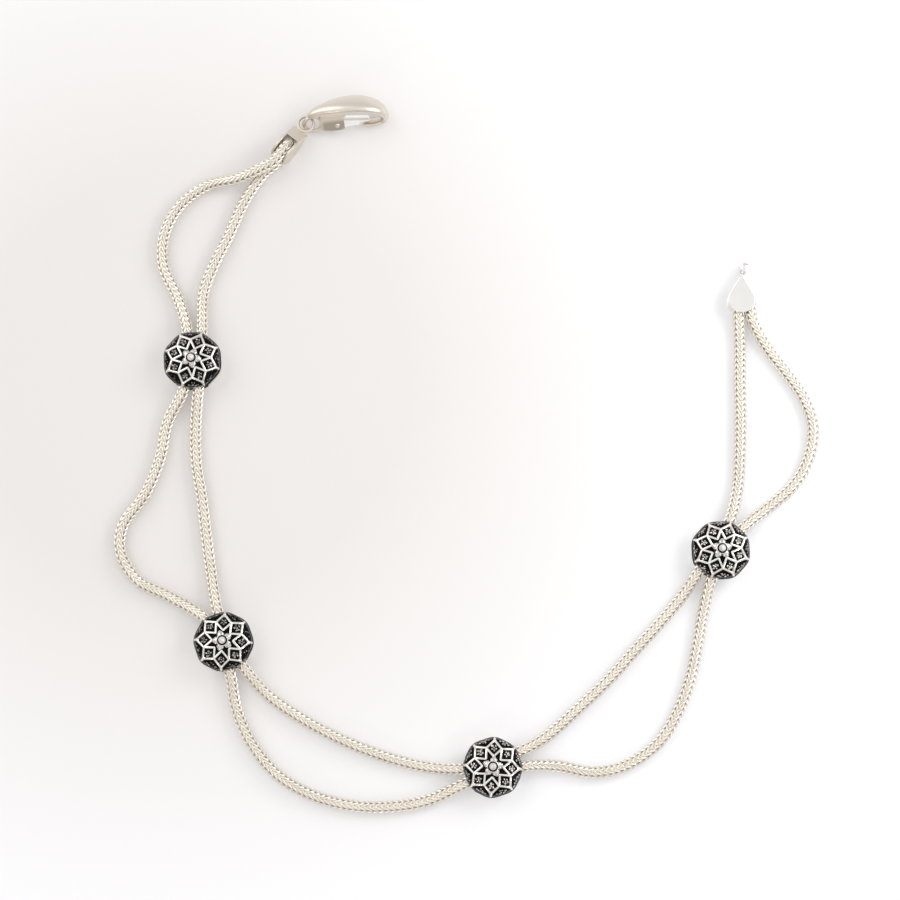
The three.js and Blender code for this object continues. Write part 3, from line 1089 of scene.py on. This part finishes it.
@dataclass
class EndCap:
    """An end cap: two teardrop leaves over the strands, a solid tip and a flat loop.

    Args:
        name: its name.
        node: the CAD node that it stands for.
        silver: its finish.
        middle: the middle of its round end, in the layout.
        way: the way its tip points, in degrees.
        loop_radius: the outside radius of its loop.
        loop_width: the width of its loop's band.
        roll: the turn of its leaves about its own line; 0 lies flat.
        lean: how far its loop leans aside, in degrees.
        shift: how far the strands lie beside its middle.
        full: how far its worn leaves spread outside the drawn outline.
        round_r: the radius of its round end.
        tip: how far its tip lies from the middle of that end.
        leaf: the thickness of a leaf.
        inside: half the space between the leaves.
        block_from: where its solid tip begins.
        loop_centre: where the middle of its loop lies.
        band: the thickness of its loop.
    """

    name: str
    node: str
    silver: SilverFinish
    middle: Point
    way: float
    loop_radius: float
    loop_width: float
    roll: float = 0.0
    lean: float = 0.0
    shift: float = 0.0
    full: float = 0.0
    round_r: float = 2.1
    tip: float = 4.1
    leaf: float = 0.4
    inside: float = 1.04
    block_from: float = 1.95
    loop_centre: float = 5.4
    band: float = 0.45

    def place(self) -> np.ndarray:
        """The matrix from the cap's own frame, with its tip along X, to the layout."""
        turn = turn_matrix("Z", self.way) @ turn_matrix("X", self.roll)
        return shift_matrix(*self.middle) @ turn

    def leaves(self) -> Shape:
        """Draws the two teardrop leaves.

        Returns:
            The leaves.
        """
        r, tip = self.round_r + self.full, self.tip + 2 * self.full
        touch = math.acos(r / tip)
        nib, nib_half, end, edge, steps = 0.25, 0.14, 0.1, 0.1, 8
        arc = polar(r, np.linspace(touch, math.tau - touch, 5 * steps))
        upper = np.linspace([tip - nib, nib_half], arc[0], steps)[:-1]
        lower = np.linspace(arc[-1], [tip - nib, -nib_half], steps)[1:]
        outline = np.concatenate([upper, arc, lower, [[tip - end, 0.0]]])
        one = slab(outline, self.leaf, edge)
        height = self.inside + self.leaf / 2
        return joined([one.placed(shift_matrix(0, 0, sign * height)) for sign in (-1, 1)])

    def block(self) -> Shape:
        """Draws the solid tip between the leaves.

        Returns:
            The tip.
        """
        start, tip, nib, nib_half, past = self.block_from, self.tip, 0.35, 0.2, 0.05
        wide, notch = 0.6 * (tip - start), 0.2 * (tip - start)
        corners = [
            (start, -wide), (tip - nib, -nib_half), (tip + past, 0.0),
            (tip - nib, nib_half), (start, wide), (start + notch, 0.0),
        ]
        bite, edge = 0.3, 0.05
        return slab(np.array(corners), 2 * self.inside + bite, edge, 2)

    def loop(self) -> Shape:
        """Draws the flat loop at the tip.

        Returns:
            The loop.
        """
        middle = self.loop_radius - self.band / 2
        line = np.insert(polar(middle, circle(48)), 1, 0.0, axis=-1)
        halves = (self.loop_width / 2, self.band / 2)
        squareness, shade = 0.5, 0.75
        ring = hoop(line, line, halves * bulged(polar(1.0, circle(12)), squareness))
        ring.depth = shade * (np.hypot(ring.points[:, 0], ring.points[:, 2]) < middle)
        place = shift_matrix(self.tip, 0, 0) @ turn_matrix("Z", -self.lean)
        return ring.placed(place @ shift_matrix(self.loop_centre - self.tip, 0, 0))

    def build(self) -> None:
        """Builds the cap."""
        whole = joined([self.leaves(), self.block(), self.loop()])
        layers = [(whole, self.silver)]
        make_piece(self.name, self.node, layers, self.place())


# ---- The layout -----------------------------------------------------------------------

BEADS = [
    # toned is higher on beads 1 and 2 as painted shade for the dimmer light on their side.
    RosetteBead(1, heading=-93.0, star_way=26.0, petal_way=66.0, toned=0.4),
    RosetteBead(2, heading=-64.4, star_way=42.0, petal_way=36.0, toned=0.4),
    RosetteBead(3, heading=16.4, star_way=41.0, petal_way=10.0, toned=0.15),
    RosetteBead(4, heading=58.1, star_way=25.0, petal_way=16.0, toned=0.15),
]
CLASP_CAP = EndCap(
    "clasp_end_cap", "end_cap_clasp", SILVER_WARM_REFLECTION, (-29.98, 49.83, 2.15), 52.0,
    loop_radius=1.5, loop_width=0.5, roll=90.0,
)
TAG_CAP = EndCap(
    "tag_end_cap", "end_cap_tag", POLISHED_SILVER, (44.6, 24.35, 1.5), 89.0,
    loop_radius=1.4, loop_width=0.9, lean=20.0, shift=0.7, full=0.1,
)

# The strands between the cap, the beads and the other cap, from clasp to tag.
SECTIONS = {
    Strand.INNER: [
        [(-34.1, 45.3), (-36.9, 40.8), (-39.2, 35.4), (-41.5, 30.6), (-43.2, 25.5)],
        [(-44.1, 3.6), (-43.9, -2.3), (-42.9, -8.2), (-42.1, -14.3), (-41.2, -20.4)],
        [(-31.9, -39.8), (-26.6, -43.5), (-20.6, -46.7), (-14.1, -49.3), (-7.4, -51.1)],
        [
            (12.5, -46.4), (17.4, -42.1), (22.2, -37.6),
            (26.6, -32.8), (30.8, -28.2), (34.2, -24.2),
        ],
        [(43.5, -6.6), (44.0, -0.7), (44.2, 5.2), (44.2, 11.1), (44.3, 16.8)],
    ],
    Strand.OUTER: [
        [
            (-33.4, 46.6, 3.15), (-37.9, 44.7, 2.3), (-43.0, 43.8), (-47.5, 40.2),
            (-49.8, 35.4), (-49.8, 30.2), (-47.4, 24.9),
        ],
        [
            (-48.7, 4.2), (-49.8, -1.6), (-52.1, -7.5), (-55.5, -12.4),
            (-55.8, -17.0), (-53.0, -21.5), (-47.9, -24.1),
        ],
        [
            (-36.9, -42.0), (-34.4, -47.5), (-30.3, -52.4), (-24.9, -55.6),
            (-18.7, -57.3), (-12.5, -57.5), (-6.4, -56.5),
        ],
        [
            (14.2, -51.1), (19.9, -52.1), (25.4, -50.8), (30.3, -47.3),
            (33.4, -42.4), (35.5, -36.9), (36.7, -31.5), (37.7, -26.4),
        ],
        [
            (48.4, -9.7), (52.6, -6.0), (55.1, -1.5), (55.9, 3.6),
            (54.4, 8.5), (51.6, 12.7), (48.6, 16.8),
        ],
    ],
}


@dataclass
class StrandRoute:
    """The line that one strand follows, from the clasp's cap to the other cap.

    Args:
        strand: which strand of the pair.
        floor_z: the height of its middle where it lies on the surface.
        bead_z: the height of its middle inside a bead.
        half_bead: how far it lies beside a bead's middle.
        half_cap: how far it lies beside a cap's middle.
        bead_radius: how far from a bead's middle it runs straight.
        cap_knots: for its mouth, its inside and its end in a cap, the distance along the
            cap, its share of half_cap and its share of the cap's shift.
        pinch: its share of its full thickness at its ends.
        pinched: how far from its ends it has its full thickness.
        samples: how many points the line has between two knots.
    """

    strand: Strand
    floor_z: float = 1.03
    bead_z: float = 1.75
    half_bead: float = 1.2
    half_cap: float = 1.07
    bead_radius: float = 4.85
    cap_knots: tuple[tuple[float, float, float], ...] = (
        (-3.0, 1.0, 1.0), (0.6, 0.93, 0.6), (1.85, 0.56, 0.0),
    )
    pinch: float = 0.56
    pinched: float = 2.4
    samples: int = 60

    def __post_init__(self) -> None:
        """Lays the line out and measures it."""
        knots, marks = self._knots()
        self.line = self._curve(knots)
        steps = np.linalg.norm(np.diff(self.line, axis=0), axis=1)
        self.travel = np.concatenate([[0.0], np.cumsum(steps)])
        self.length = float(self.travel[-1])
        self.bead_travel = [float(self.travel[mark * self.samples]) for mark in marks]

    def _knots(self) -> tuple[np.ndarray, list[int]]:
        """The points that the line passes through.

        Returns:
            The points, and which of them are the beads' middles.
        """
        side = self.strand.value
        points = self._in_cap(CLASP_CAP, side)[::-1]
        marks = []
        for section, bead in zip(SECTIONS[self.strand], [*BEADS, None]):
            for x, y, *z in section:
                points.append(np.array([x, y, *(z or [self.floor_z])]))
            if bead:
                marks.append(len(points) + 1)
                for along in (-self.bead_radius, 0.0, self.bead_radius):
                    spot = self._in(bead.place(), along, -side * self.half_bead, self.bead_z)
                    points.append(spot)
        points += self._in_cap(TAG_CAP, -side)
        return np.array(points), marks

    def _in_cap(self, cap: EndCap, side: int) -> list[np.ndarray]:
        """The points on one side of a cap, from its mouth to the strand's end."""
        half = side * self.half_cap
        return [
            self._in(cap.place(), along, half * share - cap.shift * moved)
            for along, share, moved in self.cap_knots
        ]

    @staticmethod
    def _in(place: np.ndarray, x: float, y: float, z: float = 0.0) -> np.ndarray:
        """A point of a piece's own frame, in the layout."""
        return (place @ np.array([x, y, z, 1.0]))[:3]

    def _curve(self, knots: np.ndarray) -> np.ndarray:
        """A smooth line through the points.

        Args:
            knots: the points.

        Returns:
            Closely spaced points of the line.
        """
        before, after = 2 * knots[0] - knots[1], 2 * knots[-1] - knots[-2]
        padded = np.concatenate([[before], knots, [after]])
        t = np.arange(self.samples)[:, None] / self.samples
        spans = []
        for i in range(len(knots) - 1):
            p0, p1, p2, p3 = padded[i : i + 4]
            m1, m2 = (p2 - p0) / 2, (p3 - p1) / 2
            square = (3 * (p2 - p1) - 2 * m1 - m2) * t**2
            spans.append(p1 + m1 * t + square + (2 * (p1 - p2) + m1 + m2) * t**3)
        return np.concatenate([*spans, knots[-1:]])

    def thickness(self, travel: np.ndarray) -> np.ndarray:
        """The strand's share of its full thickness, which the caps pinch at its ends."""
        inside = np.clip(np.minimum(travel, self.length - travel) / self.pinched, 0, 1)
        return self.pinch + (1 - self.pinch) * inside * inside * (3 - 2 * inside)

    def points(self, travel: np.ndarray) -> np.ndarray:
        """The line's points at some distances along it, with x, y, z last."""
        return np.stack([np.interp(travel, self.travel, column) for column in self.line.T], -1)

    def at(self, travel: np.ndarray) -> tuple[np.ndarray, np.ndarray, np.ndarray]:
        """The line and its upright frame at some distances along it.

        Args:
            travel: the distances from the clasp's end.

        Returns:
            The points, the upward ways and the sideways ways, each with x, y, z last.
        """
        nearby = 0.2
        way = unit(self.points(travel + nearby) - self.points(travel - nearby))
        upward = unit(UP - way * way[..., 2:])
        return self.points(travel), upward, np.cross(way, upward)


# ---- Chain strands --------------------------------------------------------------------


@dataclass
class FoxtailStrand:
    """A round foxtail chain: wire loops whose legs lie over each other like wheat grains.

    Args:
        strand: which strand of the pair.
        pitch: the distance from one loop to the next on one face.
        wire: the wire's radius.
        crown: how far out the middle of a leg lies.
        groove: how far out its two ends lie.
        reach: how far back along the chain a leg runs.
        bend: how round a loop's head is.
        spread: how far round the chain a leg runs, in degrees.
        core: the radius of the shadowed core.
        faces: how many rows of loops run round it.
        roll: how far the first row of loops lies from the top, in degrees.
        stations: how many points a loop's line has.
        plump: how soon a leg reaches its crown.
        wire_sides: how many sides the wire has.
        core_sides: how many sides the core has.
    """

    strand: Strand
    pitch: float = 0.92
    wire: float = 0.19
    crown: float = 0.8
    groove: float = 0.64
    reach: float = 1.7
    bend: float = 0.006
    spread: float = 47.0
    core: float = 0.66
    faces: int = 4
    roll: float = 45.0
    stations: int = 15
    plump: float = 0.7
    wire_sides: int = 7
    core_sides: int = 10

    def __post_init__(self) -> None:
        """Lays the strand's route out."""
        self.route = StrandRoute(self.strand)

    def loops(self, start: float, end: float) -> Shape:
        """The wire loops between two distances along the strand.

        Args:
            start: where the stretch begins.
            end: where it ends.

        Returns:
            The loops.
        """
        t = np.linspace(-1.0, 1.0, self.stations)
        rows = np.arange(math.ceil(start / self.pitch), math.ceil(end / self.pitch))
        face = np.arange(self.faces)[:, None]
        head = ((rows + 0.5 * (face % 2)) * self.pitch).reshape(-1, 1)
        turn = np.repeat(face * QUARTER, len(rows)).reshape(-1, 1)
        keep = (head[:, 0] > self.reach) & (head[:, 0] < self.route.length)
        back = np.sqrt(t**2 + self.bend) - math.sqrt(self.bend)
        travel = head[keep] - self.reach * back
        angle = turn[keep] + math.radians(self.roll) + math.radians(self.spread) * t
        rise = np.sin(math.pi * np.abs(t)) ** self.plump
        thickness = self.route.thickness(travel)
        radius = (self.groove + (self.crown - self.groove) * rise) * thickness
        places, upward, sideways = self.route.at(travel)
        outward = np.cos(angle)[..., None] * upward + np.sin(angle)[..., None] * sideways
        centres = places + radius[..., None] * outward
        section = round_section(self.wire, self.wire_sides)
        # The depth 1 - rise gives painted shade on the legs' ends, which dive into the groove.
        return sweep(centres, outward, section, thickness, 1.0 - rise)

    def inside(self, start: float, end: float) -> Shape:
        """The shadowed core that the loops' hidden parts fill.

        Args:
            start: where the stretch begins.
            end: where it ends.

        Returns:
            The core.
        """
        travel = np.linspace(start, end, int(end - start) + 2)[None]
        places, upward, _ = self.route.at(travel)
        thickness = self.route.thickness(travel)
        section = round_section(self.core, self.core_sides)
        return sweep(places, upward, section, thickness, 1.0)

    def build(self) -> None:
        """Builds the strand in the stretches that the beads divide it into."""
        side = self.strand.name.lower()
        stops = [0.0, *self.route.bead_travel, self.route.length]
        for index, (start, end) in enumerate(zip(stops[:-1], stops[1:]), 1):
            layers = [
                (self.loops(start, end), CHAIN_WIRE),
                (self.inside(start, end), CHAIN_SHADE_CORE),
            ]
            make_piece(f"{side}_chain_{index}", f"strand_{side}", layers)
        LOG.info("%s strand is %.1f mm long", side, self.route.length)


# ---- Lobster clasp --------------------------------------------------------------------


@dataclass
class LobsterClasp:
    """A lobster claw clasp with a sprung lever.

    In its own frame X runs from the ring to the nose, Y up to the spine and Z across.

    Args:
        pivot: the middle of the lever's pin in the layout, in metres.
        axis: the way the pin runs.
        ring_r: the radius of the ring's middle line.
        ring_wire: the radius of its wire.
        pin: where the lever's pin lies.
        pin_r: the radius of the pin's heads.
        pin_half: half the length of the pin.
        cheek_half: half the width over both cheeks.
        slot_w: the width of the lever's slot.
        lever_t: the thickness of the lever.
        eye_r: the outside radius of the lever's eye.
        hole_r: the radius of its hole.
        grain: the size of the steps that the cast surface is smoothed from.
        rings: how many rings of points the claw has.
        sides: how many points each of them has.
    """

    pivot: Point
    axis: Point
    ring_r: float = 1.5
    ring_wire: float = 0.37
    pin: tuple[float, float] = (3.9, -0.1)
    pin_r: float = 0.42
    pin_half: float = 1.36
    cheek_half: float = 1.22
    slot_w: float = 1.6
    lever_t: float = 1.1
    eye_r: float = 1.05
    hole_r: float = 0.55
    grain: float = 0.075
    rings: int = 90
    sides: int = 28

    def place(self) -> np.ndarray:
        """Finds where the clasp lies.

        Returns:
            The matrix from the clasp's own frame to the layout.
        """
        east, north, up = self.axis
        heading = math.degrees(math.atan2(east, -north))
        turn = turn_matrix("Z", heading) @ turn_matrix("X", 90 - math.degrees(math.asin(up)))
        middle = np.array(self.pivot) / MM
        return shift_matrix(*middle) @ turn @ shift_matrix(-self.pin[0], -self.pin[1], 0)

    def claw(self) -> Shape:
        """The claw: one bar from the tail over the spine, round the nose and to the tip.

        Returns:
            The bar.
        """
        stations = np.array([
            # along, up, half depth, half width
            (-0.78, 1.88, 0.2, 0.3), (-0.5, 1.93, 0.42, 0.52), (0.2, 2.12, 0.66, 0.75),
            (1.3, 2.42, 0.85, 1.02), (3.0, 2.8, 1.0, 1.5), (5.0, 3.03, 1.0, 1.86),
            (7.2, 3.05, 0.93, 2.03), (9.2, 2.6, 0.86, 1.96), (10.75, 1.8, 0.8, 1.72),
            (11.7, 0.7, 0.72, 1.42), (11.95, -0.2, 0.62, 1.22), (11.4, -0.95, 0.5, 1.08),
            (10.4, -1.22, 0.37, 0.98), (9.3, -1.26, 0.35, 0.92), (8.5, -1.29, 0.36, 0.86),
            (8.15, -1.3, 0.24, 0.7),
        ])
        knots = np.arange(len(stations))
        fine = np.linspace(0, knots[-1], self.rings)
        columns = np.array([np.interp(fine, knots, column) for column in stations.T])
        passes, deep_round, wide_round = 6, 0.9, 0.85
        for _ in range(passes):
            around = columns[:, :-2] + 2 * columns[:, 1:-1] + columns[:, 2:]
            columns[:, 1:-1] = around / 4
        way = unit(np.gradient(columns[:2], axis=1).T)
        along, up, deep, wide = columns[..., None]
        angle = circle(self.sides)
        lift = deep * bulged(np.sin(angle), deep_round)
        across = wide * bulged(np.cos(angle), wide_round)
        points = np.stack([along - way[:, 1:] * lift, up + way[:, :1] * lift, across], -1)
        quads, tail, tip = bar_faces(self.rings, self.sides)
        outward = [quads[:, [0, 3, 2, 1]], tail[:, ::-1], tip[:, ::-1]]
        return Shape(points.reshape(-1, 3), outward)

    def cheeks(self) -> Shape:
        """Draws the two cheeks below the spine that hold the lever's pin.

        Returns:
            The cheeks.
        """
        runs = [
            (1.7, -0.9, 2.7, -1.2, 3.6, -1.2),
            (4.3, -1.25, 5.0, -1.2, 5.1, -0.8),
            (5.1, 0.8),
            (5.2, 1.6, 5.8, 2.0, 6.8, 2.2),
            (6.4, 2.9), (1.4, 2.3), (1.0, 1.4),
        ]
        block = slab(curved_outline((1.1, -0.7), runs, 6), 2 * self.cheek_half, 0.25)
        gate = [(2.45, -3), (5.9, -3), (5.9, 1.55), (4.7, 1.55), (3.0, 1.2), (2.45, 0.5)]
        return less(block, slab(np.array(gate), self.slot_w, 0.0))

    def ring(self) -> Shape:
        """The ring that is soldered to the hook."""
        line = raised(polar(self.ring_r, circle(56)), 0.0)
        return hoop(line, line, round_section(self.ring_wire, 14))

    def hook(self) -> Shape:
        """Casts the hook: claw, cheeks and ring run into one another and rubbed smooth.

        Returns:
            The hook, with a painted dark reflection on the lower part of its front cheek.
        """
        cast = reworked(
            joined([self.claw(), self.cheeks(), self.ring()]),
            ("REMESH", {"mode": "VOXEL", "voxel_size": self.grain}),
            ("SMOOTH", {"factor": 0.5, "iterations": 5}),
        )
        along, up, across = cast.points.T
        # Painted dark reflection: the lower part of the front cheek, which faces down and
        # forward, is darkened towards the deep colour.
        low = np.clip((1.4 - up) / 0.8, 0, 1) * np.clip((5.6 - along) / 0.4, 0, 1)
        cast.depth = 0.75 * low * np.clip((along - 1.0) / 0.8, 0, 1) * np.clip(across, 0, 1)
        return cast

    def rivet(self) -> Shape:
        """Draws the lever's pin with its two domed heads.

        Returns:
            The pin.
        """
        half, head = self.pin_half, self.pin_r
        lower = np.array([
            (0, -half), (0.22, -half), (head, -half + 0.12), (head, -half + 0.35),
            (0.3, -half + 0.4),
        ])
        profile = np.concatenate([lower, lower[::-1] * (1, -1)])
        return turned(profile, 24).placed(shift_matrix(*self.pin, 0))

    def lever(self) -> Shape:
        """Draws the lever: an eye on the pin, a bar up to the nose and a thumb tab.

        Returns:
            The lever.
        """
        eye = self.pin + polar(self.eye_r, np.radians(np.linspace(100, 225, 14)))
        runs = [
            (3.7, -1.65, 4.5, -1.6, 4.8, -1.35),
            (5.0, -1.2, 5.2, -1.15, 5.6, -1.15),
            (7.3, -1.1),
            (7.6, -1.08, 7.65, -0.62, 7.95, -0.6),
            (9.0, -0.55),
            (9.45, -0.5, 9.45, -0.05, 9.0, 0),
            (5.0, 0.55),
        ]
        outline = np.concatenate([eye, curved_outline((3.4, -1.4), runs, 8)])
        hole = turned([(0, -1), (self.hole_r, -1), (self.hole_r, 1), (0, 1)], 24)
        body = slab(outline, self.lever_t, 0.12)
        return less(body, hole.placed(shift_matrix(*self.pin, 0)))

    def build(self) -> None:
        """Builds the hook with its ring and pin, and the lever."""
        place = self.place()
        hook = [(joined([self.hook(), self.rivet()]), SILVER_WARM_REFLECTION)]
        make_piece("clasp_hook", "clasp_body", hook, place, smooth_deg=60.0)
        lever = [(self.lever(), POLISHED_SILVER)]
        name, node = "clasp_gate_lever", "clasp_lever"
        make_piece(name, node, lever, place, body=LEVER_BODY)


# ---- The studio -----------------------------------------------------------------------


@dataclass
class Studio:
    """The pale floor, the soft lights and the camera.

    Args:
        elevation: how high the camera stands above the floor, in degrees.
        distance: how far it stands from its target, in metres.
        width: how much of the target's plane it sees, in metres.
        target: the point that it looks at, in metres.
        sensor_mm: the width of its sensor.
        panels: for each soft light its name, where it hangs and its side, in metres, its
            power in watts, and how much blue it lacks.
        room: for each height in the room, from 0 to 1, the colour of its light.
    """

    elevation: float = 80.5
    distance: float = 0.42
    width: float = 0.14535
    target: Point = (-0.0029, -0.0004, 0.002)
    sensor_mm: float = 36.0
    panels: tuple[tuple[str, Point, float, float, float], ...] = (
        ("panel_left", (-0.7, 0.4, 0.75), 0.8, 2.7, 0.03),
        ("panel_near", (0.18, 0.085, 0.15), 0.12, 0.21, 0.02),
        ("panel_right", (0.75, -0.45, 0.7), 0.14, 0.9, 0.02),
        ("panel_front", (-0.35, -0.8, 0.5), 0.12, 0.4, 0.02),
    )
    room: tuple[tuple[float, Colour], ...] = (
        (0.0, (0.42, 0.39, 0.35)), (0.75, (0.81, 0.802, 0.79)), (1.0, (0.95, 0.94, 0.935)),
    )

    def floor(self) -> None:
        """Lays the pale surface, curving up far behind."""
        half, rise, bend, count = 1.6, 0.9, 0.5, 9
        flat = raised(np.linspace(-half, half - bend, count)[:, None], 0.0)
        curve = (half - bend, bend) + polar(bend, np.linspace(-QUARTER, 0, count)[1:])
        rows = [*flat, *curve, (half, bend + rise)]
        points = np.array([(x, *row) for row in rows for x in np.linspace(-half, half, count)])
        sheet = Shape(points, [grid_quads(len(rows), count, round_columns=False)])
        mesh = mesh_of(sheet, "pale_floor")
        mesh.materials.append(material_of(PALE_SURFACE))
        mesh.shade_smooth()
        shown("pale_floor", mesh)

    def lights(self) -> None:
        """Hangs the soft panels, each facing the anklet."""
        for name, spot, size, power, warm in self.panels:
            light = bpy.data.lights.new(name, "AREA")
            light.shape = "SQUARE"
            light.size = size
            light.energy = power
            light.color = (1.0, 1.0 - warm * 0.5, 1.0 - warm)
            lamp = shown(name, light)
            lamp.location = spot
            lamp.rotation_euler = (-Vector(spot)).to_track_quat("-Z", "Y").to_euler()

    def air(self) -> None:
        """Fills the room with pale light, paler overhead."""
        world = bpy.data.worlds.new("pale_room")
        nodes = Nodes(world, "Background", "Generated")
        height = nodes.add("ShaderNodeSeparateXYZ", {"Vector": nodes.where}).outputs["Z"]
        ramp = nodes.add("ShaderNodeValToRGB", {"Fac": height})
        stops = ramp.color_ramp.elements
        for index, (position, colour) in enumerate(self.room):
            stop = stops[index] if index < len(stops) else stops.new(position)
            stop.position = position
            stop.color = (*colour, 1)
        nodes.put(nodes.shader, {"Color": ramp.outputs["Color"], "Strength": 1.0})
        bpy.context.scene.world = world
        bpy.context.scene.view_settings.view_transform = "Standard"

    def camera(self) -> None:
        """Sets up the camera."""
        lens = bpy.data.cameras.new("camera")
        lens.sensor_width = self.sensor_mm
        lens.lens = self.sensor_mm * self.distance / self.width
        lens.clip_start = 0.01
        camera = shown("camera", lens)
        rise = math.radians(self.elevation)
        way = Vector((0, -math.cos(rise), math.sin(rise)))
        camera.location = Vector(self.target) + way * self.distance
        camera.rotation_euler = way.to_track_quat("Z", "Y").to_euler()
        bpy.context.scene.camera = camera

    def build(self) -> None:
        """Builds the studio."""
        self.camera()
        self.floor()
        self.lights()
        self.air()


def main() -> None:
    """Loads the frame and builds every sub-assembly around it."""
    logging.basicConfig(level=logging.INFO, format="%(name)s: %(message)s")
    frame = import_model()
    Studio().build()
    for strand in Strand:
        FoxtailStrand(strand).build()
    for part in (*BEADS, CLASP_CAP, TAG_CAP):
        part.build()
    pivot = frame["record"]["behaviour"]["joints"][0]
    LobsterClasp(tuple(pivot["pos_m"]), tuple(pivot["axis"])).build()


if __name__ == "__main__":
    main()
